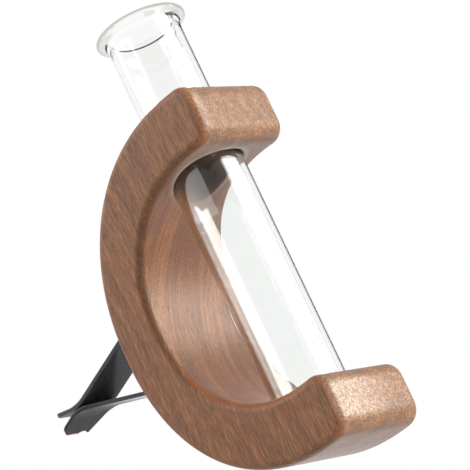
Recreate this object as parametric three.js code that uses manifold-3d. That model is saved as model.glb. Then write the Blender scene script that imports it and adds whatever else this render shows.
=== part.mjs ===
// Car vent bud vase: a half-ring of walnut that carries a rimmed glass test tube upright,
// with a folded spring clip on its back that grips one blade of a car's air vent.
// Millimetres. +Z runs up the tube, +Y points into the vent, +X is across the holder.
// The origin is the grip point, midway between the closed jaws.
import * as THREE from 'three';
import * as BufferGeometryUtils from 'three/addons/utils/BufferGeometryUtils.js';
import Module from 'manifold-3d';

// Driving dimensions of the walnut holder. Depths are measured back from its sawn front plane.
const holderThickness = 28;
const holderDepth = 50.5;
const holderHalfHeight = 44.5;
const widestDepth = 8;
const spineWidth = 13;
const armWidth = 15.1;
const outlineExponent = 2.15;
const edgeRadius = 2;
const outerCornerRadius = 4.2;
const innerCornerRadius = 4.4;
const boreDepthFromFront = 15.4;

// Driving dimensions of the glass tube
const tubeDiameter = 18;
const tubeLength = 105;
const tubeWall = 1.2;
const tubeFootHeight = -36.5;
const lipDiameter = 22.4;
const lipHeight = 4.6;
const lipBeadRadius = 0.95;
const mouthDiameter = 17.4;

// Driving dimensions of the spring clip, folded from one strip. Radii are at mid thickness.
const stripWidth = 12;
const stripThickness = 1;
const seatDepth = 0.6;
const baseFlatHeight = 12;
const foldRadius = 2;
const clipReach = 28.1;
const pinchRadius = 12;
const flareAngle = 0.22;
const flareLength = 6.5;
const tipWidth = 9;
const tipCornerRadius = 2.8;
const notchRadius = 1.9;
const notchDepth = 0.8;
const notchOffset = 2.3;

// Driving dimensions of the wood screw
const screwDiameter = 2.9;
const screwLength = 9;
const screwPointLength = 2.5;
const screwHeadDiameter = 5.4;
const screwHeadHeight = 1.9;
const screwHeadRim = 0.6;
const recessLength = 2.8;
const recessWidth = 0.7;
const recessDepth = 1.1;

// Clearances
const restGap = 0.3;
const tubeClearance = 0.35;
const jawGap = 0.3;
const mortiseClearance = 0.3;

// Fineness of the round stretches, in steps
const outlineSteps = 40;
const cornerSteps = 5;
const edgeSteps = 3;
const roundSteps = 48;
const beadSteps = 6;
const footSteps = 9;
const foldSteps = 7;
const pinchSteps = 14;
const screwSteps = 20;

// Places that follow from the sizes above
const halfThickness = holderThickness / 2;
const halfStrip = stripThickness / 2;
const tubeRadius = tubeDiameter / 2;
const boreRadius = tubeRadius + tubeClearance;
const seatPlane = holderDepth - seatDepth;
const basePlane = seatPlane + restGap + halfStrip;
const gripDepth = seatPlane + clipReach;
const past = holderThickness;

// The arm is the straight stretch that leaves the fold at the base tangentially
// and runs into the pinch tangentially, on the other side.
const foldCentre = new THREE.Vector2(basePlane + foldRadius, baseFlatHeight / 2);
const pinchCentre = new THREE.Vector2(gripDepth, jawGap / 2 + halfStrip + pinchRadius);
const centreLine = pinchCentre.clone().sub(foldCentre);
const armTilt = Math.asin((foldRadius + pinchRadius) / centreLine.length()) - centreLine.angle();
const armStraight = Math.sqrt(centreLine.lengthSq() - (foldRadius + pinchRadius) ** 2);
const armRoot = new THREE.Vector2(
  foldCentre.x + foldRadius * Math.sin(armTilt),
  foldCentre.y + foldRadius * Math.cos(armTilt),
);
const tipDepth = gripDepth + pinchRadius * Math.sin(flareAngle) + flareLength * Math.cos(flareAngle);

const walnut = new THREE.MeshStandardMaterial({ color: 0x8a5d45, roughness: 0.5, metalness: 0 });
const clearGlass = new THREE.MeshStandardMaterial({
  color: 0xeef2ef, roughness: 0.03, metalness: 0, transparent: true, opacity: 0.35,
});
const blackSteel = new THREE.MeshStandardMaterial({ color: 0x1d1f20, roughness: 0.4, metalness: 0.3 });
const screwSteel = new THREE.MeshStandardMaterial({ color: 0x232323, roughness: 0.45, metalness: 0.6 });

const wasm = await Module();
wasm.setup();

// A closed three.js geometry as a solid that can be joined and cut
function toSolid(geometry) {
  geometry.deleteAttribute('normal');
  geometry.deleteAttribute('uv');
  const merged = BufferGeometryUtils.mergeVertices(geometry, 1e-4);
  const triVerts = new Uint32Array(merged.index.array);
  const vertProperties = new Float32Array(merged.attributes.position.array);
  return new wasm.Manifold(new wasm.Mesh({ numProp: 3, vertProperties, triVerts }));
}

// A solid back as a named mesh
function toPiece(name, solid, material) {
  const { vertProperties, triVerts } = solid.getMesh();
  const geometry = new THREE.BufferGeometry();
  geometry.setAttribute('position', new THREE.BufferAttribute(vertProperties, 3));
  geometry.setIndex(new THREE.BufferAttribute(triVerts, 1));
  geometry.computeVertexNormals();
  const piece = new THREE.Mesh(geometry, material);
  piece.name = name;
  return piece;
}

// A side outline, drawn in depth and height, extruded across the holder and centred on it
function acrossHolder(shape, width, rounding = 0) {
  const geometry = new THREE.ExtrudeGeometry(shape, {
    depth: width - 2 * rounding,
    curveSegments: cornerSteps,
    bevelEnabled: rounding > 0,
    bevelThickness: rounding,
    bevelSize: rounding,
    bevelOffset: -rounding,
    bevelSegments: edgeSteps,
  });
  geometry.translate(0, 0, rounding - width / 2);
  const depthAxis = new THREE.Vector3(0, 1, 0);
  const heightAxis = new THREE.Vector3(0, 0, 1);
  const acrossAxis = new THREE.Vector3(1, 0, 0);
  geometry.applyMatrix4(new THREE.Matrix4().makeBasis(depthAxis, heightAxis, acrossAxis));
  return toSolid(geometry);
}

// A block given by its lowest and highest corners
function block(low, high) {
  const geometry = new THREE.BoxGeometry(high[0] - low[0], high[1] - low[1], high[2] - low[2]);
  geometry.translate((low[0] + high[0]) / 2, (low[1] + high[1]) / 2, (low[2] + high[2]) / 2);
  return toSolid(geometry);
}

// One rounded-square curve of the holder, from its upper front end round the back to the lower one.
// It starts and stops where the corner rounding of the front plane takes over.
function holderCurve(halfHeight, depthPastWidest, cornerRadius) {
  const power = 2 / outlineExponent;
  const startShare = ((widestDepth - cornerRadius) / depthPastWidest) ** (1 / power);
  const startAngle = Math.PI - Math.acos(startShare);
  const points = [];
  for (let step = 0; step <= outlineSteps; step++) {
    const angle = startAngle * (1 - (2 * step) / outlineSteps);
    const along = Math.sign(Math.cos(angle)) * Math.abs(Math.cos(angle)) ** power;
    const up = Math.sign(Math.sin(angle)) * Math.abs(Math.sin(angle)) ** power;
    points.push(new THREE.Vector2(widestDepth + depthPastWidest * along, halfHeight * up));
  }
  return points;
}

// Rounds the corner between a curve's end and the sawn front plane
function roundCorner(shape, from, corner, to) {
  const handle = 0.5523;
  const first = from.clone().lerp(corner, handle);
  const second = to.clone().lerp(corner, handle);
  shape.bezierCurveTo(first.x, first.y, second.x, second.y, to.x, to.y);
}

// Where a curve's end would meet the front plane if it ran straight on
function frontMeeting(end, before) {
  const run = end.clone().sub(before);
  return new THREE.Vector2(0, end.y - (run.y / run.x) * end.x);
}

function holderOutline() {
  const outer = holderCurve(holderHalfHeight, holderDepth - widestDepth, outerCornerRadius);
  const innerPastWidest = holderDepth - spineWidth - widestDepth;
  const inner = holderCurve(holderHalfHeight - armWidth, innerPastWidest, innerCornerRadius).reverse();
  const outerTop = frontMeeting(outer[0], outer[1]);
  const innerTop = frontMeeting(inner.at(-1), inner.at(-2));
  const mirrored = (point) => new THREE.Vector2(point.x, -point.y);
  const outerTopEnd = new THREE.Vector2(0, outerTop.y - outerCornerRadius);
  const innerTopEnd = new THREE.Vector2(0, innerTop.y + innerCornerRadius);

  const shape = new THREE.Shape();
  shape.moveTo(outer[0].x, outer[0].y);
  outer.slice(1).forEach((point) => shape.lineTo(point.x, point.y));
  roundCorner(shape, outer.at(-1), mirrored(outerTop), mirrored(outerTopEnd));
  shape.lineTo(0, -innerTopEnd.y);
  roundCorner(shape, mirrored(innerTopEnd), mirrored(innerTop), inner[0]);
  inner.slice(1).forEach((point) => shape.lineTo(point.x, point.y));
  roundCorner(shape, inner.at(-1), innerTop, innerTopEnd);
  shape.lineTo(0, outerTopEnd.y);
  roundCorner(shape, outerTopEnd, outerTop, outer[0]);
  return shape;
}

// An upright round bar that stands on a given height, for bores
function uprightBar(radius, foot, top) {
  const geometry = new THREE.CylinderGeometry(radius, radius, top - foot, roundSteps);
  geometry.rotateX(Math.PI / 2);
  geometry.translate(0, boreDepthFromFront, (foot + top) / 2);
  return toSolid(geometry);
}

// Walnut holder: the half ring, one bore through its upper arm and on into its lower arm,
// a shallow mortise for the clip, and a pilot hole for the screw
function makeHolder() {
  const ring = acrossHolder(holderOutline(), holderThickness, edgeRadius);
  const bore = uprightBar(boreRadius, tubeFootHeight - restGap, holderHalfHeight + past);
  const mortiseHalfWidth = stripWidth / 2 + mortiseClearance;
  const mortise = block(
    [-mortiseHalfWidth, seatPlane, -holderHalfHeight / 2],
    [mortiseHalfWidth, holderDepth + past, holderHalfHeight / 2],
  );
  const pilotLength = screwLength + restGap;
  const pilot = new THREE.CylinderGeometry(
    screwDiameter / 2 + restGap, screwDiameter / 2 + restGap, pilotLength, screwSteps,
  );
  pilot.translate(0, headSeat() - pilotLength / 2, 0);
  return ring.subtract(bore).subtract(mortise).subtract(toSolid(pilot));
}

// Depth of the plane that the screw's head bears on
function headSeat() {
  return basePlane + halfStrip + restGap;
}

// Glass test tube: round foot, straight wall and a rim that flares into a rolled bead
function makeTube() {
  const innerRadius = tubeRadius - tubeWall;
  const footCentre = tubeFootHeight + tubeRadius;
  const rimTop = tubeFootHeight + tubeLength;
  const beadCentre = new THREE.Vector2(lipDiameter / 2 - lipBeadRadius, rimTop - lipBeadRadius);
  const flareFoot = rimTop - lipHeight;
  const onFoot = (radius, angle) => new THREE.Vector2(
    radius * Math.sin(angle), footCentre - radius * Math.cos(angle),
  );
  const profile = [];
  for (let step = 0; step <= footSteps; step++) {
    profile.push(onFoot(tubeRadius, (Math.PI / 2) * (step / footSteps)));
  }
  const underBead = new THREE.Vector2(beadCentre.x, beadCentre.y - lipBeadRadius);
  const flare = new THREE.CubicBezierCurve(
    new THREE.Vector2(tubeRadius, flareFoot),
    new THREE.Vector2(tubeRadius, (flareFoot + underBead.y) / 2),
    new THREE.Vector2((tubeRadius + underBead.x) / 2, underBead.y),
    underBead,
  );
  profile.push(...flare.getPoints(beadSteps));
  const bead = new THREE.EllipseCurve(
    beadCentre.x, beadCentre.y, lipBeadRadius, lipBeadRadius, -Math.PI / 2, Math.PI / 2,
  );
  profile.push(...bead.getPoints(beadSteps).slice(1));
  const mouth = new THREE.CubicBezierCurve(
    new THREE.Vector2(beadCentre.x, rimTop),
    new THREE.Vector2(mouthDiameter / 2, rimTop),
    new THREE.Vector2(innerRadius, (rimTop + flareFoot) / 2),
    new THREE.Vector2(innerRadius, flareFoot),
  );
  profile.push(...mouth.getPoints(beadSteps).slice(1));
  for (let step = 0; step <= footSteps; step++) {
    profile.push(onFoot(innerRadius, (Math.PI / 2) * (1 - step / footSteps)));
  }
  const geometry = new THREE.LatheGeometry(profile, roundSteps);
  geometry.rotateX(Math.PI / 2);
  geometry.translate(0, boreDepthFromFront, 0);
  return toSolid(geometry);
}

// The middle line of a folded strip, in depth and height, made as on the bench:
// each straight or bend goes on from where the last one stopped
class StripPath {
  constructor(start, heading) {
    this.stations = [{ place: start.clone(), heading }];
  }

  straight(length) {
    const { place, heading } = this.stations.at(-1);
    const run = new THREE.Vector2(Math.cos(heading), Math.sin(heading)).multiplyScalar(length);
    this.stations.push({ place: place.clone().add(run), heading });
    return this;
  }

  bend(radius, turn, steps) {
    const { place, heading } = this.stations.at(-1);
    const side = Math.sign(turn);
    const toCentre = new THREE.Vector2(-Math.sin(heading), Math.cos(heading)).multiplyScalar(side * radius);
    const centre = place.clone().add(toCentre);
    for (let step = 1; step <= steps; step++) {
      const swept = (turn * step) / steps;
      const spoke = toCentre.clone().negate().rotateAround(new THREE.Vector2(), swept);
      this.stations.push({ place: centre.clone().add(spoke), heading: heading + swept });
    }
    return this;
  }

  edge(offset) {
    return this.stations.map(({ place, heading }) => new THREE.Vector2(
      place.x - offset * Math.sin(heading), place.y + offset * Math.cos(heading),
    ));
  }

  outline(thickness) {
    return new THREE.Shape([...this.edge(thickness / 2), ...this.edge(-thickness / 2).reverse()]);
  }
}

// Clip base: the flat that lies in the mortise, with the fold at each end that turns
// towards an arm, and a clearance hole for the screw
function makeClipBase() {
  const foldTurn = Math.PI / 2 + armTilt;
  const foot = new THREE.Vector2(armRoot.x, -armRoot.y);
  const path = new StripPath(foot, Math.PI + armTilt)
    .bend(foldRadius, -foldTurn, foldSteps)
    .straight(baseFlatHeight)
    .bend(foldRadius, -foldTurn, foldSteps);
  const strip = acrossHolder(path.outline(stripThickness), stripWidth);
  const holeRadius = screwDiameter / 2 + restGap;
  const hole = new THREE.CylinderGeometry(holeRadius, holeRadius, foldRadius, screwSteps);
  hole.translate(0, basePlane, 0);
  return strip.subtract(toSolid(hole));
}

// The arm's outline seen from above: full width to the grip, then a tongue that tapers
// to its tip, with one corner well rounded and a small stamped scallop beside the other
function tongueOutline() {
  const side = stripWidth / 2;
  const tip = tipWidth / 2;
  const taper = new THREE.Vector2(side - tip, gripDepth - tipDepth).normalize();
  const notchRise = notchRadius - notchDepth;
  const notchTurn = Math.asin(notchRise / notchRadius);
  const shape = new THREE.Shape();
  shape.moveTo(side, seatPlane);
  shape.lineTo(side, gripDepth);
  shape.lineTo(tip, tipDepth);
  shape.absarc(
    notchOffset, tipDepth + notchRise, notchRadius, -notchTurn, notchTurn - Math.PI, true,
  );
  shape.lineTo(tipCornerRadius - tip, tipDepth);
  shape.quadraticCurveTo(
    -tip, tipDepth, -tip - tipCornerRadius * taper.x, tipDepth + tipCornerRadius * taper.y,
  );
  shape.lineTo(-side, gripDepth);
  shape.lineTo(-side, seatPlane);
  return shape;
}

// One spring arm: straight from the base to the pinch, where it bends away again into a straight flare.
// The side is 1 for the upper arm and -1 for the lower one.
function makeArm(side) {
  const heading = -side * armTilt;
  const root = new THREE.Vector2(armRoot.x, side * armRoot.y);
  const start = new StripPath(root, heading).straight(restGap).stations.at(-1).place;
  const path = new StripPath(start, heading)
    .straight(armStraight - restGap)
    .bend(pinchRadius, side * (armTilt + flareAngle), pinchSteps)
    .straight(flareLength + stripThickness);
  const strip = acrossHolder(path.outline(stripThickness), stripWidth + 2 * restGap);
  const tongue = new THREE.ExtrudeGeometry(tongueOutline(), {
    depth: 2 * holderHalfHeight, curveSegments: cornerSteps, bevelEnabled: false,
  });
  tongue.translate(0, 0, -holderHalfHeight);
  return strip.intersect(toSolid(tongue));
}

// Wood screw with a domed head and a cross recess
function makeScrew() {
  const seat = headSeat();
  const radius = screwDiameter / 2;
  const headRadius = screwHeadDiameter / 2;
  const profile = [
    new THREE.Vector2(0, seat - screwLength),
    new THREE.Vector2(radius, seat - screwLength + screwPointLength),
    new THREE.Vector2(radius, seat),
    new THREE.Vector2(headRadius, seat),
  ];
  const dome = new THREE.EllipseCurve(
    0, seat + screwHeadRim, headRadius, screwHeadHeight - screwHeadRim, 0, Math.PI / 2,
  );
  profile.push(...dome.getPoints(beadSteps));
  profile.at(-1).x = 0;
  const turned = toSolid(new THREE.LatheGeometry(profile, screwSteps));
  const recessFloor = seat + screwHeadHeight - recessDepth;
  const slot = (halfAcross, halfUp) => block(
    [-halfAcross, recessFloor, -halfUp], [halfAcross, seat + 2 * screwHeadHeight, halfUp],
  );
  const long = recessLength / 2;
  const narrow = recessWidth / 2;
  return turned.subtract(slot(long, narrow)).subtract(slot(narrow, long));
}

const vase = new THREE.Group();
vase.add(toPiece('wood_holder', makeHolder(), walnut));
vase.add(toPiece('glass_tube', makeTube(), clearGlass));
vase.add(toPiece('clip_base', makeClipBase(), blackSteel));
vase.add(toPiece('clip_upper_arm', makeArm(1), blackSteel));
vase.add(toPiece('clip_lower_arm', makeArm(-1), blackSteel));
vase.add(toPiece('clip_screw', makeScrew(), screwSteel));
vase.position.y = -gripDepth;

export default vase;
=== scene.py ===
# %% [markdown]
# # A car vent bud vase in walnut, glass and spring steel
#
# The real vase is a half ring of walnut, bored through its upper arm and partway into its lower arm.
# A glass test tube drops into the bores, and a black steel clip grips a blade of the air vent.
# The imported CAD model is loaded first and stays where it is: it gives every place and size.
# Each piece is then modelled again with a finer surface and laid exactly over its CAD node.

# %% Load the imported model
import math

import bmesh
import bpy
from mathutils import Matrix, Vector


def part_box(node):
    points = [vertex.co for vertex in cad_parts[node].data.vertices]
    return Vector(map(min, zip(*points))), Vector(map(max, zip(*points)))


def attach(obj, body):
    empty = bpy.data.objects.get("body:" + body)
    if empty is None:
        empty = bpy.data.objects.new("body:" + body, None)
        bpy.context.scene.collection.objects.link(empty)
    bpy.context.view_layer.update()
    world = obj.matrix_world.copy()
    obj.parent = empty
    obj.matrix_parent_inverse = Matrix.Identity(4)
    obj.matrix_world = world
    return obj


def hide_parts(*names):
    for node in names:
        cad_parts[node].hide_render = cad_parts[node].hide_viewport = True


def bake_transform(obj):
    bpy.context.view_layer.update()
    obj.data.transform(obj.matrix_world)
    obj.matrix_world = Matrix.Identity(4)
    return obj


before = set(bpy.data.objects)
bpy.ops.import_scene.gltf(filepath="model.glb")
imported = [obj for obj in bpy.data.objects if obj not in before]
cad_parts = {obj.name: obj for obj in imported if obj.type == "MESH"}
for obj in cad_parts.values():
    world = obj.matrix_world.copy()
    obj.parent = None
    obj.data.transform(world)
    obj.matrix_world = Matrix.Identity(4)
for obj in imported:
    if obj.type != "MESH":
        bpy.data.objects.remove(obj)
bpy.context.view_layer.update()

# %% [markdown]
# ## Sizes
#
# Overall sizes are read from the frame, so they can't drift away from the CAD.
# What a box can't tell, such as a corner's radius or a wall's thickness, is written here once.
# Lengths are in metres, and MM keeps the numbers readable.

# %% Sizes of the holder
MM = 0.001

ring_low, ring_high = (Vector(corner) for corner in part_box("wood_holder"))
half_thickness = ring_high.x
half_height = ring_high.z
front_plane = ring_low.y
ring_depth = 50.5 * MM
back_plane = front_plane + ring_depth
widest_y = front_plane + 8 * MM
spine_width = 13 * MM
arm_width = 15.1 * MM
outline_exponent = 2.15
outer_corner = 4.2 * MM
inner_corner = 4.4 * MM
edge_radius = 2 * MM
print("holder", round(2 * half_height / MM, 1), "mm high,", round(ring_depth / MM, 1), "mm deep")

# %% Sizes of the tube and its bore
rest_gap = 0.3 * MM
tube_low, tube_high = (Vector(corner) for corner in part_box("glass_tube"))
tube_foot = tube_low.z
tube_rim = tube_high.z
tube_y = (tube_low.y + tube_high.y) / 2
tube_radius = 9 * MM
tube_wall = 1.2 * MM
lip_radius = tube_high.x
lip_bead = 0.95 * MM
lip_height = 4.6 * MM
mouth_radius = 8.7 * MM
bore_radius = tube_radius + 0.35 * MM
bore_floor = tube_foot - rest_gap
print("tube", round((tube_rim - tube_foot) / MM), "mm long, rim", round(2 * lip_radius / MM, 1), "mm")

# %% Sizes of the clip and its screw
strip_half_width = 6 * MM
strip_thickness = 1 * MM
seat_plane = back_plane - 0.6 * MM
base_plane = seat_plane + rest_gap + strip_thickness / 2
base_flat_half = 6 * MM
fold_radius = 2 * MM
jaw_gap = 0.3 * MM
pinch_radius = 12 * MM
flare_angle = 0.22
flare_length = 6.5 * MM
tip_half_width = 4.5 * MM
tip_corner = 2.8 * MM
notch_radius = 1.9 * MM
notch_depth = 0.8 * MM
notch_x = 2.3 * MM
screw_radius = 1.45 * MM
screw_length = 9 * MM
screw_point = 2.5 * MM
head_radius = 2.7 * MM
head_height = 1.9 * MM
head_rim = 0.6 * MM
head_seat = base_plane + strip_thickness / 2 + rest_gap

# %% [markdown]
# ## Helpers
#
# Blender's operators act on whatever is selected, and the CAD nodes arrive selected.
# So every step first deselects everything, picks one piece, and then picks the vertices, edges
# or faces that it wants by where they are, or takes them all.


# %% Picking pieces and parts of pieces
def deselect_everything():
    if bpy.context.mode != "OBJECT":
        bpy.ops.object.mode_set(mode="OBJECT")
    bpy.ops.object.select_all(action="DESELECT")


def pick(piece):
    deselect_everything()
    piece.select_set(True)
    bpy.context.view_layer.objects.active = piece


def edit(piece, kind="VERT"):
    pick(piece)
    bpy.ops.object.mode_set(mode="EDIT")
    bpy.ops.mesh.select_mode(type=kind)
    bpy.ops.mesh.select_all(action="DESELECT")


def edit_all(piece):
    edit(piece)
    bpy.ops.mesh.select_all(action="SELECT")


def select_where(piece, kind, test):
    mesh = bmesh.from_edit_mesh(piece.data)
    mesh.normal_update()
    chosen = [part for part in getattr(mesh, kind) if test(part)]
    for part in chosen:
        part.select_set(True)
    mesh.select_flush_mode()
    bmesh.update_edit_mesh(piece.data)
    return len(chosen)


def centre_of(part):
    return sum((vertex.co for vertex in part.verts), Vector()) / len(part.verts)


# %% Finishing a piece
merge_distance = 0.004 * MM


def tidy_mesh(piece):
    edit_all(piece)
    bpy.ops.mesh.remove_doubles(threshold=merge_distance)
    bpy.ops.mesh.normals_make_consistent(inside=False)
    bpy.ops.object.mode_set(mode="OBJECT")


def apply_place(piece):
    pick(piece)
    bpy.ops.object.transform_apply(location=True, rotation=True, scale=True)


def modify(piece, kind, **settings):
    pick(piece)
    modifier = piece.modifiers.new(kind.lower(), kind)
    for name, value in settings.items():
        setattr(modifier, name, value)
    bpy.ops.object.modifier_apply(modifier=modifier.name)


def shade(piece, sharpest_degrees):
    pick(piece)
    bpy.ops.object.shade_smooth_by_angle(angle=math.radians(sharpest_degrees))
    modify(piece, "WEIGHTED_NORMAL", keep_sharp=True)


def cut(piece, cutter, operation="DIFFERENCE"):
    modify(piece, "BOOLEAN", operation=operation, solver="EXACT", object=cutter)
    bpy.data.objects.remove(cutter, do_unlink=True)


def dress(piece, material):
    piece.data.materials.clear()
    piece.data.materials.append(material)
    print(piece.name, "has", len(piece.data.polygons), "faces")


# %% [markdown]
# ## Drawing a line and spinning it
#
# Turned pieces and folded strips both start as a line in the side view. The line is drawn as by hand:
# one vertex, extruded from point to point. A primitive plane merged to its centre gives that vertex.


# %% Drawing lines and curves
def draw_line(name, points):
    deselect_everything()
    bpy.ops.mesh.primitive_plane_add(size=MM, location=points[0])
    piece = bpy.context.object
    piece.name = name
    piece.data.name = name
    edit_all(piece)
    bpy.ops.mesh.merge(type="CENTER")
    for before, after in zip(points, points[1:]):
        bpy.ops.mesh.extrude_region_move(TRANSFORM_OT_translate={"value": after - before})
    apply_place(piece)
    return piece


def bezier(first, first_handle, last_handle, last, steps):
    points = []
    for step in range(steps + 1):
        late = step / steps
        early = 1 - late
        points.append(
            first * early**3
            + first_handle * 3 * early**2 * late
            + last_handle * 3 * early * late**2
            + last * late**3
        )
    return points


def arc(centre, radius, start_degrees, stop_degrees, steps):
    points = []
    for step in range(steps + 1):
        angle = math.radians(start_degrees + (stop_degrees - start_degrees) * step / steps)
        across = centre[0] + radius * math.cos(angle)
        up = centre[1] + radius * math.sin(angle)
        points.append(Vector((across, up)))
    return points


def spin_round(piece, centre, axis, steps):
    edit_all(piece)
    bpy.ops.mesh.spin(steps=steps, angle=math.tau, center=centre, axis=axis)
    tidy_mesh(piece)


# %% [markdown]
# ## The walnut half ring
#
# On the real vase a block of walnut is sawn to a C, bored, and sanded until every edge is round.
# Here one cross-section of the arm is spun through half a turn, which gives neat rows of quads.
# A formula then eases the plain half circle out to the slightly squarer curve that the sander left.
# The two ends run on to the sawn front plane. Their corners get a large bevel and all the outline's
# edges a smaller one. The bores come after that, because their rims are eased far less.

# %% Spin the arm's cross-section into a half ring
spin_steps = 72
corner_margin = 0.9 * MM
middle_height = half_height - arm_width / 2


def curve_point(turn, half, depth_past_widest):
    power = 2 / outline_exponent
    along = math.copysign(abs(math.cos(turn)) ** power, math.cos(turn))
    up = math.copysign(abs(math.sin(turn)) ** power, math.sin(turn))
    return widest_y + depth_past_widest * along, half * up


def end_turn(depth_past_widest, corner):
    share = (widest_y - front_plane - corner - corner_margin) / depth_past_widest
    return math.pi - math.acos(share ** (outline_exponent / 2))


outer = {"half": half_height, "past": back_plane - widest_y, "corner": outer_corner}
inner = {
    "half": half_height - arm_width,
    "past": back_plane - widest_y - spine_width,
    "corner": inner_corner,
}

deselect_everything()
bpy.ops.mesh.primitive_plane_add(size=1, location=(0, widest_y, middle_height))
ring = bpy.context.object
ring.name = "walnut_ring"
ring.data.name = "walnut_ring"
ring.scale = (2 * half_thickness, arm_width, 1)
ring.rotation_euler = (math.pi / 2, 0, 0)
apply_place(ring)
edit_all(ring)
bpy.ops.mesh.spin(steps=spin_steps, angle=math.pi, center=(0, widest_y, 0), axis=(1, 0, 0))
tidy_mesh(ring)
print("half ring spun,", len(ring.data.vertices), "vertices")

# %% Ease it out to the sanded curve and run its ends to the front plane
for vertex in ring.data.vertices:
    place = vertex.co
    quarters = math.atan2(place.z, place.y - widest_y) / (math.pi / 2)
    curve = outer if math.hypot(place.z, place.y - widest_y) > middle_height else inner
    turn = quarters * end_turn(curve["past"], curve["corner"])
    place.y, place.z = curve_point(turn, curve["half"], curve["past"])


def run_on_to_front(vertex, curve):
    a_little = 0.01
    stop = end_turn(curve["past"], curve["corner"])
    y_end, z_end = curve_point(stop, curve["half"], curve["past"])
    y_before, z_before = curve_point(stop - a_little, curve["half"], curve["past"])
    slope = (z_end - z_before) / (y_end - y_before)
    height = z_end + slope * (front_plane - y_end)
    vertex.co.y = front_plane
    vertex.co.z = math.copysign(height, vertex.co.z)


def is_arm_end(face):
    faces_front = -0.9
    return face.normal.y < faces_front and centre_of(face).y < widest_y


edit(ring, "FACE")
ends = select_where(ring, "faces", is_arm_end)
bpy.ops.mesh.extrude_region_move(TRANSFORM_OT_translate={"value": (0, -outer_corner, 0)})
mesh = bmesh.from_edit_mesh(ring.data)
for vertex in mesh.verts:
    if vertex.select:
        run_on_to_front(vertex, outer if abs(vertex.co.z) > middle_height else inner)
bmesh.update_edit_mesh(ring.data)
bpy.ops.object.mode_set(mode="OBJECT")
print(ends, "arm ends run on to the front plane")

# %% Round the corners, then all the outline's edges
corner_segments = 8
edge_segments = 5
sharp_outline_degrees = 60
tolerance = 0.01 * MM


def is_sharper(edge, degrees):
    return len(edge.link_faces) == 2 and edge.calc_face_angle(0) > math.radians(degrees)


def is_front_corner(edge):
    first, second = (vertex.co for vertex in edge.verts)
    on_front = all(abs(vertex.co.y - front_plane) < tolerance for vertex in edge.verts)
    return on_front and abs(first.x - second.x) > half_thickness


def is_outer_corner(edge):
    return is_front_corner(edge) and abs(centre_of(edge).z) > middle_height


def is_inner_corner(edge):
    return is_front_corner(edge) and abs(centre_of(edge).z) < middle_height


def is_outline_edge(edge):
    on_side = all(abs(abs(vertex.co.x) - half_thickness) < tolerance for vertex in edge.verts)
    return on_side and is_sharper(edge, sharp_outline_degrees)


def round_edges(piece, test, radius, segments):
    edit(piece, "EDGE")
    count = select_where(piece, "edges", test)
    bpy.ops.mesh.bevel(offset=radius, segments=segments, affect="EDGES", clamp_overlap=False)
    bpy.ops.object.mode_set(mode="OBJECT")
    print(count, "edges rounded to", round(radius / MM, 2), "mm")


round_edges(ring, is_outer_corner, outer_corner, corner_segments)
round_edges(ring, is_inner_corner, inner_corner, corner_segments)
round_edges(ring, is_outline_edge, edge_radius, edge_segments)
tidy_mesh(ring)

# %% Bore it for the tube and mill the clip's mortise
bore_sides = 128
hole_sides = 48
past = 30 * MM
bore_top = half_height + past
pilot_length = screw_length + rest_gap

deselect_everything()
bpy.ops.mesh.primitive_cylinder_add(
    vertices=bore_sides, radius=bore_radius, depth=bore_top - bore_floor,
    location=(0, tube_y, (bore_top + bore_floor) / 2),
)
cut(ring, bpy.context.object)

deselect_everything()
bpy.ops.mesh.primitive_cube_add(size=1, location=(0, seat_plane + past / 2, 0))
mortise = bpy.context.object
mortise.scale = (2 * (strip_half_width + rest_gap), past, half_height)
apply_place(mortise)
cut(ring, mortise)


def drill_for_screw(piece, depth, middle_y):
    deselect_everything()
    bpy.ops.mesh.primitive_cylinder_add(
        vertices=hole_sides, radius=screw_radius + rest_gap, depth=depth,
        location=(0, middle_y, 0), rotation=(math.pi / 2, 0, 0),
    )
    cut(piece, bpy.context.object)


drill_for_screw(ring, pilot_length, head_seat - pilot_length / 2)
print("bored and milled,", len(ring.data.polygons), "faces")

# %% Ease the bore's rims
rim_ease = 0.45 * MM
rim_segments = 3
sharp_rim_degrees = 35


def off_bore(vertex):
    return abs(math.hypot(vertex.co.x, vertex.co.y - tube_y) - bore_radius)


def is_bore_rim(edge):
    on_bore = all(off_bore(vertex) < 2 * tolerance for vertex in edge.verts)
    above_floor = centre_of(edge).z > bore_floor + MM
    return on_bore and above_floor and is_sharper(edge, sharp_rim_degrees)


round_edges(ring, is_bore_rim, rim_ease, rim_segments)
tidy_mesh(ring)

# %% [markdown]
# ## The glass tube
#
# A test tube is drawn from a gob of glass: a thin wall, a round foot, and a rim that was rolled
# outwards over a flame. Half of its section is drawn as one line, up the outside, over the rim and
# down the inside, and the line is spun round the tube's axis. The wall's two faces are then both real,
# which is what bends light as glass does.

# %% Draw the tube's section and spin it
foot_steps = 14
rim_steps = 8
tube_sides = 160


def beside_axis(radius, height):
    return Vector((0, tube_y + radius, height))


def on_foot(radius, degrees):
    angle = math.radians(degrees)
    return beside_axis(radius * math.sin(angle), tube_foot + tube_radius - radius * math.cos(angle))


inner_radius = tube_radius - tube_wall
bead_y = lip_radius - lip_bead
bead_z = tube_rim - lip_bead
flare_foot = tube_rim - lip_height
under_bead = bead_z - lip_bead

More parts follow.
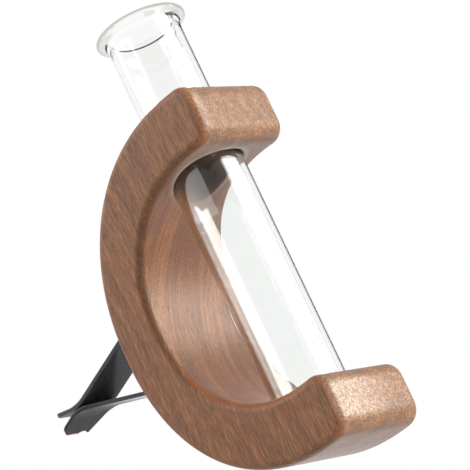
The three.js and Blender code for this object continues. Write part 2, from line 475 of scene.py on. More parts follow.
section = [on_foot(tube_radius, 90 * step / foot_steps) for step in range(foot_steps + 1)]
section += bezier(
    beside_axis(tube_radius, flare_foot),
    beside_axis(tube_radius, (flare_foot + under_bead) / 2),
    beside_axis((tube_radius + bead_y) / 2, under_bead),
    beside_axis(bead_y, under_bead),
    rim_steps,
)
bead_arc = arc((bead_y, bead_z), lip_bead, -90, 90, 2 * rim_steps)
section += [beside_axis(*point) for point in bead_arc[1:]]
section += bezier(
    beside_axis(bead_y, tube_rim),
    beside_axis(mouth_radius, tube_rim),
    beside_axis(inner_radius, (tube_rim + flare_foot) / 2),
    beside_axis(inner_radius, flare_foot),
    rim_steps,
)[1:]
section += [on_foot(inner_radius, 90 * (1 - step / foot_steps)) for step in range(foot_steps + 1)]

glass = draw_line("glass_test_tube", section)
spin_round(glass, (0, tube_y, 0), (0, 0, 1), tube_sides)
print("tube spun,", len(glass.data.vertices), "vertices")

# %% [markdown]
# ## The spring clip
#
# The clip is one strip of spring steel: flat across its middle, folded back at both ends into two
# arms that lean towards each other until they pinch, then flare apart to let a blade in.
# The strip's middle line is drawn in the side view, extruded to its width and given its thickness.
# A flat outline with the taper, the rounded corner and the stamped scallop then trims it, as a press
# tool would. Last it is parted at the screw into two leaves, because each arm flexes on its own.

# %% Work out how the arm leans
fold_y = base_plane + fold_radius
pinch_z = jaw_gap / 2 + strip_thickness / 2 + pinch_radius
fold_to_pinch = Vector((-fold_y, pinch_z - base_flat_half))
arm_lean = math.asin((fold_radius + pinch_radius) / fold_to_pinch.length)
arm_lean -= math.atan2(fold_to_pinch.y, fold_to_pinch.x)
arm_straight = math.sqrt(fold_to_pinch.length**2 - (fold_radius + pinch_radius) ** 2)
tip_y = pinch_radius * math.sin(flare_angle) + flare_length * math.cos(flare_angle)
lean_degrees = math.degrees(arm_lean)
print("arms lean", round(lean_degrees, 1), "degrees, straight", round(arm_straight / MM, 1), "mm")

# %% Draw the strip and give it width and thickness
flat_steps = 4
fold_steps = 12
straight_steps = 10
pinch_steps = 36
flare_steps = 4
past_tip = strip_thickness

upper_line = [Vector((base_plane, base_flat_half * step / flat_steps)) for step in range(1, flat_steps)]
upper_line += arc((fold_y, base_flat_half), fold_radius, 180, 90 - lean_degrees, fold_steps)
root_point = upper_line[-1]
pinch_stop = math.degrees(flare_angle) - 90
pinch_bend = arc((0, pinch_z), pinch_radius, -90 - lean_degrees, pinch_stop, pinch_steps)
for step in range(1, straight_steps):
    upper_line.append(root_point.lerp(pinch_bend[0], step / straight_steps))
upper_line += pinch_bend
flare = Vector((math.cos(flare_angle), math.sin(flare_angle))) * (flare_length + past_tip)
upper_line += [pinch_bend[-1] + flare * step / flare_steps for step in range(1, flare_steps + 1)]
whole_line = [Vector((point.x, -point.y)) for point in reversed(upper_line)]
whole_line += [Vector((base_plane, 0))] + upper_line

strip = draw_line("spring_clip", [Vector((-strip_half_width, *point)) for point in whole_line])
edit_all(strip)
bpy.ops.mesh.extrude_region_move(TRANSFORM_OT_translate={"value": (2 * strip_half_width, 0, 0)})
tidy_mesh(strip)
modify(strip, "SOLIDIFY", thickness=strip_thickness, offset=0)
tidy_mesh(strip)
print("strip has", len(strip.data.polygons), "faces")

# %% Trim it to its outline with a press tool
past_strip = 2 * MM
tool_edge = strip_half_width + past_strip
tool_start = base_plane - past_strip
tall = 2 * half_height
notch_steps = 16
tip_steps = 10
taper = Vector((tip_half_width - strip_half_width, tip_y)).normalized()

outline = [Vector((tool_edge, tool_start)), Vector((tool_edge, 0))]
outline += [Vector((strip_half_width, 0)), Vector((tip_half_width, tip_y))]
notch_rise = notch_radius - notch_depth
notch_degrees = math.degrees(math.asin(notch_rise / notch_radius))
notch_centre = (notch_x, tip_y + notch_rise)
outline += arc(notch_centre, notch_radius, -notch_degrees, notch_degrees - 180, notch_steps)
corner = Vector((-tip_half_width, tip_y))
after_corner = corner + Vector((taper.x, -taper.y)) * tip_corner
before_corner = corner + Vector((tip_corner, 0))
handle_share = 2 / 3
outline += bezier(
    before_corner,
    before_corner.lerp(corner, handle_share),
    after_corner.lerp(corner, handle_share),
    after_corner,
    tip_steps,
)
outline += [Vector((-strip_half_width, 0)), Vector((-tool_edge, 0))]
outline += [Vector((-tool_edge, tool_start))]

press_tool = draw_line("press_tool", [Vector((point.x, point.y, -tall / 2)) for point in outline])
edit_all(press_tool)
bpy.ops.mesh.edge_face_add()
bpy.ops.mesh.extrude_region_move(TRANSFORM_OT_translate={"value": (0, 0, tall)})
tidy_mesh(press_tool)
cut(strip, press_tool, "INTERSECT")

# %% Punch the screw's hole and break the edges
burr_width = 0.14 * MM
burr_degrees = 50

drill_for_screw(strip, 2 * fold_radius, base_plane)
tidy_mesh(strip)
modify(
    strip, "BEVEL", width=burr_width, segments=2, use_clamp_overlap=True,
    limit_method="ANGLE", angle_limit=math.radians(burr_degrees),
)
tidy_mesh(strip)
print("strip trimmed,", len(strip.data.polygons), "faces")


# %% Part it at the screw into two leaves
def part_leaf(above, name):
    deselect_everything()
    leaf = strip.copy()
    leaf.data = strip.data.copy()
    leaf.name = name
    leaf.data.name = name
    bpy.context.collection.objects.link(leaf)
    edit_all(leaf)
    bpy.ops.mesh.bisect(
        plane_co=(0, 0, 0), plane_no=(0, 0, above), use_fill=True, clear_inner=True, clear_outer=False,
    )
    tidy_mesh(leaf)
    return leaf


upper_leaf = part_leaf(1, "upper_leaf_of_clip")
lower_leaf = part_leaf(-1, "lower_leaf_of_clip")
bpy.data.objects.remove(strip, do_unlink=True)
print("two leaves,", len(upper_leaf.data.polygons), "and", len(lower_leaf.data.polygons), "faces")

# %% [markdown]
# ## The screw
#
# A round-headed wood screw holds the clip's flat in its mortise. Its section is drawn and spun like
# the tube's. Plain rings stand in for the thread, which is out of sight in the wood. The cross recess
# is cut with two thin blocks.

# %% Turn the screw and cut its recess
screw_sides = 64
recess_length = 2.8 * MM
recess_width = 0.7 * MM
recess_depth = 1.1 * MM
dome_steps = 10
head_bevel = 0.1 * MM
thread_turns = 8
thread_depth = 0.3 * MM
thread_pitch = (screw_length - screw_point) / thread_turns
thread_start = head_seat - screw_length + screw_point
first_crest = 0.35 * thread_pitch


def along_screw(radius, y):
    return Vector((radius, y, 0))


screw_section = [
    along_screw(0, head_seat - screw_length),
    along_screw(screw_radius - thread_depth, thread_start),
]
for turn in range(thread_turns):
    crest = thread_start + first_crest + turn * thread_pitch
    screw_section += [
        along_screw(screw_radius, crest),
        along_screw(screw_radius - thread_depth, crest + thread_pitch / 2),
    ]
screw_section += [
    along_screw(screw_radius, head_seat),
    along_screw(head_radius - head_bevel, head_seat),
    along_screw(head_radius, head_seat + head_bevel),
]
for step in range(dome_steps + 1):
    angle = math.pi / 2 * step / dome_steps
    screw_section += [along_screw(
        head_radius * math.cos(angle),
        head_seat + head_rim + (head_height - head_rim) * math.sin(angle),
    )]

screw = draw_line("clip_wood_screw", screw_section)
spin_round(screw, (0, 0, 0), (0, 1, 0), screw_sides)
recess_floor = head_seat + head_height - recess_depth
for turned in (0, math.pi / 2):
    deselect_everything()
    bpy.ops.mesh.primitive_cube_add(size=1, location=(0, recess_floor + head_height / 2, 0))
    blade = bpy.context.object
    blade.scale = (recess_length, head_height, recess_width)
    blade.rotation_euler = (0, turned, 0)
    apply_place(blade)
    cut(screw, blade)
tidy_mesh(screw)
print("screw has", len(screw.data.polygons), "faces")

# %% [markdown]
# ## Building materials from nodes
#
# A material here is a small network: texture nodes read the piece's own coordinates, ramps turn their
# grey values into masks, and a Principled BSDF gathers colour, roughness and bump.
# Every pattern reads Object coordinates, so it is carved through the piece like real grain.


# %% Helpers for node networks
class Network:
    def __init__(self, name):
        self.material = bpy.data.materials.new(name)
        self.material.use_nodes = True
        self.nodes = self.material.node_tree.nodes
        self.links = self.material.node_tree.links
        self.shader = next(node for node in self.nodes if node.type == "BSDF_PRINCIPLED")
        self.output = next(node for node in self.nodes if node.type == "OUTPUT_MATERIAL")
        coordinates = self.add("ShaderNodeTexCoord")
        self.place = coordinates.outputs["Object"]
        self.facing = coordinates.outputs["Normal"]

    def add(self, kind, **settings):
        node = self.nodes.new(kind)
        for name, value in settings.items():
            setattr(node, name, value)
        return node

    def feed(self, socket, value):
        if isinstance(value, bpy.types.NodeSocket):
            self.links.new(value, socket)
        else:
            socket.default_value = value

    def set_shader(self, **values):
        for name, value in values.items():
            self.feed(self.shader.inputs[name.replace("_", " ")], value)

    def mapped(self, source, setting, values):
        node = self.add("ShaderNodeMapping")
        self.feed(node.inputs["Vector"], source)
        node.inputs[setting].default_value = values
        return node.outputs["Vector"]

    def leaning(self, back, sideways):
        return self.mapped(self.place, "Rotation", (back, sideways, 0))

    def scaled(self, per_mm, source=None):
        return self.mapped(source or self.place, "Scale", [value / MM for value in per_mm])

    def split(self, vector):
        node = self.add("ShaderNodeSeparateXYZ")
        self.feed(node.inputs[0], vector)
        return node.outputs["X"], node.outputs["Y"], node.outputs["Z"]

    def noise(self, vector, detail=2.0, roughness=0.5):
        node = self.add("ShaderNodeTexNoise")
        self.feed(node.inputs["Vector"], vector)
        node.inputs["Scale"].default_value = 1
        node.inputs["Detail"].default_value = detail
        node.inputs["Roughness"].default_value = roughness
        return node.outputs["Fac"]

    def math(self, operation, first, second=0.0, third=0.0):
        node = self.add("ShaderNodeMath", operation=operation)
        for socket, value in zip(node.inputs, (first, second, third)):
            self.feed(socket, value)
        return node.outputs["Value"]

    def product(self, first, *others):
        for other in others:
            first = self.math("MULTIPLY", first, other)
        return first

    def inverse(self, mask):
        return self.math("SUBTRACT", 1, mask)

    def distance(self, first, second):
        squared = self.math("MULTIPLY", first, first)
        return self.math("SQRT", self.math("MULTIPLY_ADD", second, second, squared))

    def span(self, value, low, high, to_low=0.0, to_high=1.0):
        node = self.add("ShaderNodeMapRange", clamp=True, interpolation_type="SMOOTHSTEP")
        for socket, given in zip(node.inputs, (value, low, high, to_low, to_high)):
            self.feed(socket, given)
        return node.outputs["Result"]

    def mix(self, share, first, second):
        node = self.add("ShaderNodeMix", data_type="RGBA")
        for name, value in (("Factor_Float", share), ("A_Color", first), ("B_Color", second)):
            socket = next(socket for socket in node.inputs if socket.identifier == name)
            self.feed(socket, value)
        return next(socket for socket in node.outputs if socket.identifier == "Result_Color")

    def stain(self, base, tone, mask, strength):
        """Lays a tone over a base colour where the mask is, as strongly as the strength says."""
        return self.mix(self.product(mask, strength), base, tone)

    def bump(self, height, depth, strength=1.0, below=None):
        node = self.add("ShaderNodeBump")
        self.feed(node.inputs["Height"], height)
        node.inputs["Distance"].default_value = depth
        node.inputs["Strength"].default_value = strength
        if below:
            self.feed(node.inputs["Normal"], below)
        return node.outputs["Normal"]


def colour(red, green, blue):
    """A colour as a paint chart gives it, from 0 to 255, made linear for the renderer."""
    linear = []
    for value in (red / 255, green / 255, blue / 255):
        linear.append(value / 12.92 if value <= 0.04045 else ((value + 0.055) / 1.055) ** 2.4)
    return (*linear, 1)


# %% [markdown]
# ## Walnut
# Walnut is brown with a violet-grey cast. Rounded edges that face up or to the front are painted orange
# as grazing light, and the others are painted darker as shade. The bore's wall is painted dark as
# shade, the underside round it grey as painted sheen, and the sawn ends carry painted brightness and a
# painted highlight.
# Walnut is brown with a violet-grey cast, and orange where the sander has burnished it.
# The growth layers are shells round a heart outside the block. The fibres lean a little sideways, so
# the sides show short fine lines and the inner wall shows long streaks.
# Fibres, streaks and pores are noise stretched along the grain and squeezed across the layers.

# %% Lay the growth layers
walnut = Network("oiled_walnut")
heart_x = -60 * MM
heart_y = -190 * MM
waver_depth = 7 * MM
lean_back = math.radians(-1)
layers_lean = math.radians(-20)
fibres_lean = math.radians(-6)

layer_grain = walnut.leaning(lean_back, layers_lean)
fibre_grain = walnut.leaning(lean_back, fibres_lean)
waver = walnut.noise(walnut.scaled((0.06, 0.06, 0.018), layer_grain), detail=3)
across_x, across_y, _ = walnut.split(layer_grain)
from_heart = walnut.distance(
    walnut.math("SUBTRACT", across_x, heart_x),
    walnut.math("SUBTRACT", across_y, heart_y),
)
layer = walnut.math("MULTIPLY_ADD", waver, waver_depth, from_heart)


def layers(width, low, high):
    node = walnut.add("ShaderNodeTexNoise", noise_dimensions="1D")
    walnut.feed(node.inputs["W"], walnut.math("DIVIDE", layer, width))
    node.inputs["Scale"].default_value = 1
    node.inputs["Detail"].default_value = 2
    return walnut.span(node.outputs["Fac"], low, high)


broad_layers = layers(4.2 * MM, 0.32, 0.68)
fine_layers = layers(0.9 * MM, 0.42, 0.68)
print("growth layers laid with", len(walnut.nodes), "nodes")


# %% Stretch noise into streaks, fibres and pores
def stretched(per_mm, low, high, source, detail=2, roughness=0.5):
    """Noise with so many waves per millimetre, made a mask by two of its grey values."""
    return walnut.span(walnut.noise(walnut.scaled(per_mm, source), detail, roughness), low, high)


broad_streaks = stretched((0.42, 0.6, 0.02), 0.44, 0.6, fibre_grain)
streaks = stretched((1.1, 1.6, 0.04), 0.47, 0.6, fibre_grain)
pale_fibres = stretched((2.6, 4.4, 0.14), 0.48, 0.64, fibre_grain)
fibres = stretched((3.0, 5.0, 0.16), 0.45, 0.6, fibre_grain)
patches = stretched((0.11, 0.11, 0.04), 0.35, 0.65, layer_grain)
wall_bands = stretched((0.36, 0.03, 0.02), 0.36, 0.66, layer_grain, detail=1)
wall_lines = stretched((2.0, 0.06, 0.05), 0.46, 0.6, layer_grain, detail=3)
speckle = stretched((2.2, 2.2, 1.8), 0.42, 0.6, walnut.place, detail=3, roughness=0.65)
mottle = stretched((0.42, 0.42, 0.36), 0.38, 0.62, walnut.place, detail=3, roughness=0.6)

pore_cells = walnut.add("ShaderNodeTexVoronoi")
walnut.feed(pore_cells.inputs["Vector"], walnut.scaled((1.0, 2.0, 0.3), layer_grain))
pore_cells.inputs["Scale"].default_value = 1
pores = walnut.span(pore_cells.outputs["Distance"], 0.14, 0.3, 1, 0)
pores = walnut.product(pores, stretched((0.6, 0.6, 0.14), 0.4, 0.6, layer_grain))
print("fibres and pores stretched,", len(walnut.nodes), "nodes")

# %% Find the sawn ends, the rounded edges and the inner wall
faces_x, faces_y, faces_z = walnut.split(walnut.facing)
at_x, at_y, at_z = walnut.split(walnut.place)
sideways = walnut.math("ABSOLUTE", faces_x)

near_front = walnut.span(at_y, front_plane + 6 * MM, front_plane + 2 * MM)
sawn_end = walnut.product(walnut.span(faces_y, -0.3, -0.85), near_front)
underneath = walnut.span(faces_z, -0.5, -0.95)

rounded = walnut.product(walnut.span(sideways, 0.1, 0.5), walnut.span(sideways, 0.995, 0.8))
# Rounded edges that face up or to the front get painted grazing light below; the others get painted
# shade.
facing_up_or_front = walnut.math("MAXIMUM", walnut.span(faces_z, 0, 0.4), near_front)
edges_in_shade = walnut.product(rounded, walnut.inverse(facing_up_or_front))
edges_in_grazing_light = walnut.product(rounded, facing_up_or_front)

from_middle = walnut.distance(walnut.math("SUBTRACT", at_y, widest_y), at_z)
inside_ring = walnut.span(from_middle, middle_height, middle_height - 3 * MM)
across_wall = walnut.span(sideways, 0.6, 0.2)
on_wall = walnut.product(across_wall, walnut.inverse(sawn_end), inside_ring)
print("edges and wall found,", len(walnut.nodes), "nodes")

# %% Find the bore's rim and the painted highlights on the sawn ends
upper_arm_start = 24 * MM
upper_arm_full = 30 * MM
highlight_line_strength = 0.45

from_axis = walnut.distance(at_x, walnut.math("SUBTRACT", at_y, tube_y))
in_upper_arm = walnut.span(at_z, upper_arm_start, upper_arm_full)
in_bore = walnut.product(walnut.span(from_axis, bore_radius + 0.1 * MM, bore_radius), in_upper_arm)
by_bore = walnut.product(
    walnut.span(from_axis, bore_radius + 2 * MM, bore_radius + 0.6 * MM),
    walnut.span(faces_z, -0.3, -0.8),
    in_upper_arm,
)

# Painted highlights on the sawn ends: a broad one on the lower end that fades to the right, and a thin
# line along the upper end's left edge. They also set where the coat is glossier.
in_lower_arm = walnut.span(at_z, 0, -10 * MM)
highlight_on_lower_face = walnut.product(walnut.span(at_x, 9 * MM, -8 * MM), in_lower_arm)
highlight_line_on_upper_face = walnut.product(walnut.span(at_x, -9.6 * MM, -11 * MM), highlight_line_strength)
quite_flat = walnut.product(walnut.span(faces_y, -0.85, -0.98), near_front)
painted_highlight = walnut.product(walnut.math("MAXIMUM", highlight_on_lower_face, highlight_line_on_upper_face), quite_flat)
print("bore and polish found,", len(walnut.nodes), "nodes")

# %% Mix the colours of the sides
dark_layer = colour(101, 65, 47)
light_layer = colour(129, 85, 54)
russet = colour(133, 81, 51)
umber = colour(87, 54, 38)
violet_brown = colour(91, 57, 41)
dark_streak = colour(81, 49, 34)

brown = walnut.mix(broad_layers, dark_layer, light_layer)
brown = walnut.stain(brown, russet, patches, 0.45)
brown = walnut.stain(brown, umber, fine_layers, 0.35)
brown = walnut.stain(brown, violet_brown, broad_streaks, 0.4)
brown = walnut.stain(brown, dark_streak, streaks, 0.35)

# %% Mix the colours of the inner wall and lay the fibres over all
dark_band = colour(101, 62, 44)
light_band = colour(140, 89, 56)
wall_line = colour(74, 44, 30)
wall_speck = colour(88, 54, 37)
pale_fibre = colour(160, 115, 84)
dark_fibre = colour(60, 36, 24)
pore_brown = colour(42, 24, 16)
painted_edge_shade = colour(71, 44, 31)
fibres_left_on_wall = 0.45

bands = walnut.mix(wall_bands, dark_band, light_band)
bands = walnut.stain(bands, wall_line, wall_lines, 0.6)
bands = walnut.stain(bands, wall_speck, speckle, 0.3)
brown = walnut.stain(brown, bands, on_wall, 0.75)

to_speckle = walnut.math("SUBTRACT", speckle, fibres)
marks = walnut.math("MULTIPLY_ADD", to_speckle, sawn_end, fibres)
finer = walnut.span(on_wall, 0, 1, 1, fibres_left_on_wall)
brown = walnut.stain(brown, pale_fibre, walnut.product(pale_fibres, finer), 0.36)
brown = walnut.stain(brown, dark_fibre, walnut.product(marks, finer), 0.46)
brown = walnut.stain(brown, pore_brown, pores, 0.6)
# Painted shade: rounded edges that face down and away from the front are darkened.
brown = walnut.stain(brown, painted_edge_shade, edges_in_shade, 0.5)
print("sides and wall mixed,", len(walnut.nodes), "nodes")

# %% Mix the painted edge light, the sawn ends, the painted rim sheen and the painted bore shade
edge_light_orange = colour(156, 84, 38)
dull_cut = colour(146, 108, 83)
bright_cut = colour(181, 132, 93)
painted_highlight_yellow = colour(200, 166, 120)
cut_speck = colour(98, 68, 50)
painted_rim_sheen = colour(150, 142, 134)
painted_bore_shade = colour(52, 36, 28)

# Painted grazing light: rounded edges that face up or to the front are turned orange.
grazing_light_tone = walnut.mix(0.4, edge_light_orange, brown)
brown = walnut.stain(brown, grazing_light_tone, edges_in_grazing_light, 0.6)
# The sawn ends are lighter and more orange than the sides: partly the cut's own tone, partly painted
# brightness from the front lamps.
cut_tone_and_light = walnut.mix(mottle, dull_cut, bright_cut)
# Painted highlight: the sawn ends turn pale yellow where it falls.
cut_tone_and_light = walnut.stain(cut_tone_and_light, painted_highlight_yellow, painted_highlight, 0.6)
speckle_strength = walnut.math("MULTIPLY_ADD", painted_highlight, 0.05, 0.68)
cut_tone_and_light = walnut.stain(cut_tone_and_light, cut_speck, speckle, speckle_strength)
brown = walnut.stain(brown, cut_tone_and_light, sawn_end, 0.75)
# Painted sheen: the underside round the bore is greyed, standing for the white floor reflected at a
# glancing angle.
brown = walnut.stain(brown, painted_rim_sheen, by_bore, 0.6)
# Painted shade: the bore's wall in the upper arm is darkened, fading out towards its lower end.
brown = walnut.stain(brown, painted_bore_shade, in_bore, 0.7)
print("sawn ends mixed,", len(walnut.nodes), "nodes")

# %% Give it an oiled surface
pore_depth = -1.5
fibre_relief = 0.03 * MM
fuzz_relief = 0.08 * MM
roughest = 0.62
smoothest = 0.48
smoother_on_wall = -0.13

relief = walnut.math("MULTIPLY_ADD", pores, pore_depth, walnut.inverse(marks))
fuzz = walnut.noise(walnut.scaled((2.4, 2.4, 1.4), layer_grain), detail=3, roughness=0.6)
fibre_normal = walnut.bump(relief, fibre_relief, 0.7)
walnut_normal = walnut.bump(fuzz, fuzz_relief, 0.8, fibre_normal)
walnut_roughness = walnut.span(fuzz, 0.3, 0.7, smoothest, roughest)
walnut_roughness = walnut.math("MULTIPLY_ADD", on_wall, smoother_on_wall, walnut_roughness)
walnut.set_shader(Base_Color=brown, Roughness=walnut_roughness, IOR=1.4, Normal=walnut_normal)
walnut.set_shader(Specular_Tint=colour(255, 224, 192))
walnut.set_shader(Sheen_Weight=0.09, Sheen_Roughness=0.22)

# %% Polish the sawn ends, which the sander left slightly domed and not quite square
dome_curve = -3
lean_per_face = 0.06
dome = walnut.product(at_x, at_x, dome_curve)
leaning = walnut.span(at_z, -10 * MM, 10 * MM, lean_per_face, -lean_per_face)
dome = walnut.math("MULTIPLY_ADD", at_x, leaning, dome)
dome = walnut.product(dome, sawn_end)

least_coat = 0.14
polished = walnut.math("MULTIPLY_ADD", painted_highlight, 0.5, 0.2)
polished = walnut.product(polished, walnut.span(speckle, 0, 1, 1, 0.6), sawn_end)
coat_weight = walnut.math("MAXIMUM", polished, least_coat)
coat_weight = walnut.math("MAXIMUM", walnut.product(underneath, 0.6), coat_weight)
wall_gloss = walnut.product(on_wall, walnut.span(wall_lines, 0, 1, 0.17, 0.1))
coat_weight = walnut.math("MAXIMUM", wall_gloss, coat_weight)
coat_normal = walnut.bump(dome, 1.0, 1.0, walnut_normal)
walnut.set_shader(Coat_Weight=coat_weight, Coat_Roughness=0.22, Coat_IOR=1.5, Coat_Normal=coat_normal)
print("walnut finished with", len(walnut.nodes), "nodes")

# %% [markdown]
# ## Glass
#
# Clear glass has hardly any colour of its own. A Layer Weight node tints its edges grey: that is
# painted shade, standing in for the dark surroundings that glass shows bent along its edges. Light that
# only passes through on its way to the wood would need slow caustics, so for shadow rays the glass is
# nearly see-through.
# The rolled bead traps light for more bounces than the renderer follows, so some plain see-through
# keeps it pale.

# %% Melt the glass
clear = Network("clear_glass")
face_on_tint = colour(250, 251, 250)
glass_edge_shade = colour(236, 236, 229)
edge_on = clear.add("ShaderNodeLayerWeight")
edge_on.inputs["Blend"].default_value = 0.5
at_edge = clear.span(edge_on.outputs["Facing"], 0.7, 0.98)
clear.set_shader(Base_Color=clear.mix(at_edge, face_on_tint, glass_edge_shade))
clear.set_shader(Roughness=0.0, IOR=1.47, Transmission_Weight=1.0)

# %% Let shadow rays through it, and the camera partly through the bead
bead_blend = 0.6 * MM
bead_clearness = 0.75
see_through = clear.add("ShaderNodeBsdfTransparent")
see_through.inputs["Color"].default_value = colour(252, 252, 249)
light_path = clear.add("ShaderNodeLightPath")
_, _, up_the_tube = clear.split(clear.place)
bead = clear.span(up_the_tube, under_bead - bead_blend, under_bead, 0, bead_clearness)
bead = clear.product(bead, light_path.outputs["Is Camera Ray"])
either = clear.add("ShaderNodeMixShader")
clear.feed(either.inputs[0], clear.math("MAXIMUM", light_path.outputs["Is Shadow Ray"], bead))
clear.feed(either.inputs[1], clear.shader.outputs[0])
clear.feed(either.inputs[2], see_through.outputs[0])
clear.feed(clear.output.inputs["Surface"], either.outputs[0])
print("glass melted with", len(clear.nodes), "nodes")

# %% [markdown]
# ## Satin black on spring steel
#
# The strip is copper-plated and then coated in a thin satin black that is a little uneven.
# Along the sheared edges grey is painted in: partly the thin coat worn through, partly painted
# highlight. The Bevel node rounds the normals near an edge, so comparing them with the true normals
# finds the edges.
# One corner of the lower leaf has rubbed through to the copper, beside the stamped scallop. The lower
# leaf's tip is painted darker as shade.

# %% Find the clip's worn places, painted edge glints and painted tip shade
black = Network("satin_black_steel")
edge_reach = 0.22 * MM
patchy = black.noise(black.scaled((0.5, 0.5, 0.5)), detail=3)
softened = black.add("ShaderNodeBevel", samples=4)
softened.inputs["Radius"].default_value = edge_reach
true_normal = black.add("ShaderNodeNewGeometry")
likeness = black.add("ShaderNodeVectorMath", operation="DOT_PRODUCT")
black.feed(likeness.inputs[0], softened.outputs["Normal"])
black.feed(likeness.inputs[1], true_normal.outputs["Normal"])
edge = black.span(likeness.outputs["Value"], 0.985, 0.9)
wear_and_glint = black.product(edge, black.span(patchy, 0.38, 0.6))

clip_x, clip_y, clip_z = black.split(black.place)
rubbed_through = black.product(
    black.span(clip_y, tip_y - 0.55 * MM, tip_y - 0.25 * MM),
    black.span(clip_z, -0.5 * MM, -1.5 * MM),
    black.span(clip_x, -2.7 * MM, -2.1 * MM),
    black.span(clip_x, 0.6 * MM, 0.2 * MM),
)
towards_wood = black.span(clip_y, -4 * MM, -18 * MM)
lower_tip = black.product(black.span(clip_y, -14 * MM, 0), black.span(clip_z, 0, -MM))
print("worn places found,", len(black.nodes), "nodes")

# %% Coat the clip
thin_coat = colour(53, 55, 57)
thick_coat = colour(60, 62, 64)
painted_tip_shade = colour(28, 29, 30)
grey_wear_and_glint = colour(112, 112, 110)
copper = colour(196, 128, 96)
glossier_by_wood = -0.2

coat = black.mix(patchy, thin_coat, thick_coat)
# Painted shade: the lower leaf's tip is darkened, standing for the dark it reflects.
coat = black.mix(lower_tip, coat, painted_tip_shade)
# Grey along the sheared edges: partly wear of the coat, partly painted edge highlight.
coat = black.stain(coat, grey_wear_and_glint, wear_and_glint, 0.6)
coat = black.mix(rubbed_through, coat, copper)
coat_roughness = black.span(patchy, 0.3, 0.7, 0.32, 0.4)
coat_roughness = black.math("MULTIPLY_ADD", towards_wood, glossier_by_wood, coat_roughness)
peel = black.noise(black.scaled((5, 5, 5)), detail=2)
coat_bump = black.bump(peel, 0.012 * MM, 0.4)
black.set_shader(Base_Color=coat, Roughness=coat_roughness, IOR=1.2, Normal=coat_bump)
print("clip coated with", len(black.nodes), "nodes")

# %% [markdown]
# ## Screw steel
#
# The screw is zinc-plated and then blackened, so it is grey metal with fine turning marks that
# circle its axis, the Y axis.

# %% Plate the screw
plated = Network("blackened_screw_steel")
dark_zinc = colour(92, 93, 95)
light_zinc = colour(120, 120, 121)
blotches = plated.noise(plated.scaled((0.4, 0.4, 0.4)), detail=3)
marks_round = plated.add("ShaderNodeTexWave", wave_type="RINGS", rings_direction="Y")
plated.feed(marks_round.inputs["Vector"], plated.scaled((1, 1, 1)))
marks_round.inputs["Scale"].default_value = 2.2
marks_round.inputs["Distortion"].default_value = 0.4
plated.set_shader(
    Base_Color=plated.mix(blotches, dark_zinc, light_zinc),
    Metallic=1.0,
    Roughness=plated.span(blotches, 0.3, 0.7, 0.28, 0.42),
    Normal=plated.bump(marks_round.outputs["Fac"], 0.01 * MM, 0.4),
)
print("screw plated with", len(plated.nodes), "nodes")

# %% [markdown]
# ## Each piece takes its finish, and the ring, tube and screw their body
#
# Shading is smooth except across sharp edges. Then each piece hides the CAD nodes that it stands for.
# The ring, the tube and the screw are hung on the body that carries them; the clip's leaves are only
# baked in place.

# %% Finish, ride and replace
shade(ring, 32)
dress(ring, walnut.material)
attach(ring, "holder")
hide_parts("wood_holder")

shade(glass, 60)
dress(glass, clear.material)
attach(glass, "tube")
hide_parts("glass_tube")

shade(screw, 30)
dress(screw, plated.material)
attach(screw, "holder")
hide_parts("clip_screw")

for leaf, above, arm_body, arm_node in (
    (upper_leaf, 1, "upper_arm", "clip_upper_arm"),
    (lower_leaf, -1, "lower_arm", "clip_lower_arm"),
):
    shade(leaf, 32)
    dress(leaf, black.material)
    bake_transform(leaf)
    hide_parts(arm_node, "clip_base")

# %% [markdown]
# ## Camera
#
# The picture was taken from the front left with a long lens, and the vase was leaning back on its clip.
# Here the vase stands upright, as it hangs in use, so it is the camera that is low and rolled.
# Its place and directions come from fitting the vase's outline to the picture's.

# %% Place the camera
camera_place = Vector((-0.43907, -0.40767, -0.15629))
camera_ahead = Vector((0.75221, 0.59215, 0.28904))
camera_up = Vector((0.05837, -0.49681, 0.86589))
picture_width = 470
focal_pixels = 2553.4
sensor_width = 36
nearest_seen = 0.01

camera_data = bpy.data.cameras.new("camera")
camera_data.sensor_width = sensor_width
camera_data.lens = sensor_width * focal_pixels / picture_width
camera_data.clip_start = nearest_seen
camera = bpy.data.objects.new("camera", camera_data)
bpy.context.collection.objects.link(camera)
to_the_right = camera_ahead.cross(camera_up).normalized()
upright = to_the_right.cross(camera_ahead).normalized()
camera_turn = Matrix((to_the_right, upright, -camera_ahead.normalized())).transposed()
camera.rotation_euler = camera_turn.to_euler()
camera.location = camera_place
bpy.context.scene.camera = camera
print("lens", round(camera_data.lens, 1), "mm")

# %% [markdown]
# ## Floor, world and lamps
#
# The set is a white studio: a pale floor well below the vase and a white surround, but the room is
# dark on the side that the picture was taken from. A tall soft box stands in front at the right.
# Its straight edges show as the two white bars in the glass, and it lights the ring's inner wall.
# Another one, high up behind at the left, lights the ring's side. A bright slot in the surround, also
# at the left, is what hazes the glass over the dark bore. A dark doorway behind at the right is seen
# only through the tube's right edge, where the glass bends the view sideways.

# %% Lay the floor
floor_height = -0.2
floor_size = 6

deselect_everything()
bpy.ops.mesh.primitive_plane_add(size=floor_size, location=(0, 0, floor_height))
floor = bpy.context.object
floor.name = "studio_floor"
paint = Network("pale_floor")
scuffs = paint.noise(paint.scaled((0.02, 0.02, 0.02)), detail=2)
paint.set_shader(Base_Color=paint.mix(scuffs, colour(238, 238, 237), colour(242, 242, 241)))
paint.set_shader(Roughness=0.8)
floor.data.materials.append(paint.material)
print("floor lies", -floor_height, "m below the clip")

# %% Surround it with a white room that is dark on one side
dark_side = Vector((-0.75, -0.59, -0.2)).normalized()
dark_from = 0.35
dark_full = 0.85
white_strength = 1.0
dark_strength = 0.1
white = (1, 1, 1, 1)

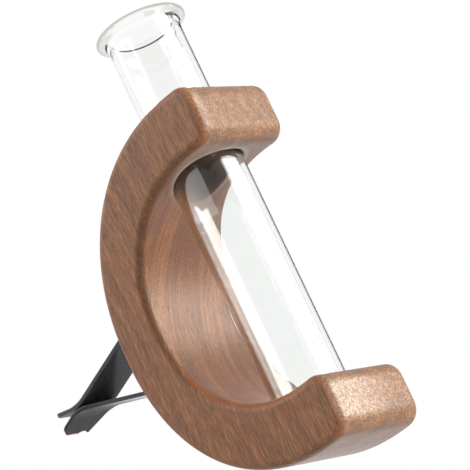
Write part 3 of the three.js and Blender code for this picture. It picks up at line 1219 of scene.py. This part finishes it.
world = bpy.data.worlds.new("white_studio")
world.use_nodes = True
bpy.context.scene.world = world
surround = world.node_tree.nodes
joins = world.node_tree.links
room = surround["Background"]
room.inputs["Color"].default_value = white
direction = surround.new("ShaderNodeTexCoord").outputs["Generated"]


def room_vectors(operation, second=(0, 0, 0), first=direction, output="Vector"):
    node = surround.new("ShaderNodeVectorMath")
    node.operation = operation
    joins.new(first, node.inputs[0])
    node.inputs[1].default_value = second
    return node.outputs[output]


towards_dark = room_vectors("DOT_PRODUCT", dark_side, output="Value")
fall = surround.new("ShaderNodeMapRange")
fall.interpolation_type = "SMOOTHSTEP"
for socket, value in zip(fall.inputs, (0, dark_from, dark_full, white_strength, dark_strength)):
    socket.default_value = value
joins.new(towards_dark, fall.inputs[0])
print("dark side set, room from", white_strength, "to", dark_strength)


# %% Open a bright slot and a dark doorway in it
def room_math(operation, first, second):
    node = surround.new("ShaderNodeMath")
    node.operation = operation
    for socket, value in zip(node.inputs, (first, second)):
        if isinstance(value, bpy.types.NodeSocket):
            joins.new(value, socket)
        else:
            socket.default_value = value
    return node.outputs["Value"]


compass = room_vectors("NORMALIZE", first=room_vectors("MULTIPLY", (1, 1, 0)))
split_direction = surround.new("ShaderNodeSeparateXYZ")
joins.new(direction, split_direction.inputs[0])
height = split_direction.outputs["Z"]


def window(azimuth, half_width, low, high):
    """1 for directions within some degrees of an azimuth and between two heights, and 0 elsewhere."""
    middle = (math.cos(math.radians(azimuth)), math.sin(math.radians(azimuth)), 0)
    towards = room_vectors("DOT_PRODUCT", middle, first=compass, output="Value")
    inside = room_math("GREATER_THAN", towards, math.cos(math.radians(half_width)))
    inside = room_math("MULTIPLY", inside, room_math("GREATER_THAN", height, low))
    return room_math("MULTIPLY", inside, room_math("LESS_THAN", height, high))


slot_strength = 3.4
door_low = 0.15
door_high = 0.45
slot = room_math("MULTIPLY", window(157, 40.6, low=0.298, high=0.33), slot_strength)
reflected_doorway = window(22, 15, door_low, door_high)
doorway = window(25.5, 5.5, door_low, door_high)
lit_room = room_math("ADD", fall.outputs["Result"], slot)
lit_room = room_math("MULTIPLY", lit_room, room_math("SUBTRACT", 1, reflected_doorway))
joins.new(lit_room, room.inputs["Strength"])

# %% Let the camera see plain white
backdrop = surround.new("ShaderNodeBackground")
backdrop.inputs["Color"].default_value = white
path = surround.new("ShaderNodeLightPath")
dark_door = room_math("MULTIPLY", doorway, path.outputs["Is Transmission Ray"])
joins.new(room_math("SUBTRACT", 1, dark_door), backdrop.inputs["Strength"])
seen = room_math("MAXIMUM", path.outputs["Is Camera Ray"], path.outputs["Is Transmission Ray"])
choice = surround.new("ShaderNodeMixShader")
joins.new(seen, choice.inputs[0])
joins.new(room.outputs[0], choice.inputs[1])
joins.new(backdrop.outputs[0], choice.inputs[2])
joins.new(choice.outputs[0], surround["World Output"].inputs["Surface"])
print("world has", len(surround), "nodes")

# %% Hang the soft boxes
aim = Vector((0, -0.05, 0))


def soft_box(name, azimuth, rise, size, radiance, distance=1.0):
    """A lamp that faces the vase from a compass direction, in degrees, at a height in metres."""
    lamp_data = bpy.data.lights.new(name, "AREA")
    lamp_data.shape = "RECTANGLE"
    lamp_data.size, lamp_data.size_y = size
    lamp_data.energy = radiance * math.pi * size[0] * size[1]
    lamp = bpy.data.objects.new(name, lamp_data)
    bpy.context.collection.objects.link(lamp)
    angle = math.radians(azimuth)
    outwards = Vector((math.cos(angle), math.sin(angle), 0))
    lamp.location = aim + outwards * distance + Vector((0, 0, rise))
    lamp.rotation_euler = (math.pi / 2, 0, angle + math.pi / 2)
    return lamp


key_azimuth = 300
key_rise = 0.17
key_size = (1.0, 0.6)
soft_box("key_soft_box", key_azimuth, key_rise, key_size, radiance=3.8)
soft_box("side_soft_box", azimuth=140, rise=0.85, size=(1.4, 0.7), radiance=5)

# Glass mirrors only a twentieth of the light. A lamp just behind the key that feeds reflections alone
# keeps the bars white and doesn't bleach the wood.
just_behind = 1.02
glint = soft_box("key_for_reflections", key_azimuth, key_rise, key_size, 7.5, just_behind)
glint.visible_diffuse = False
bpy.context.scene.view_settings.view_transform = "Standard"
print("studio lit")
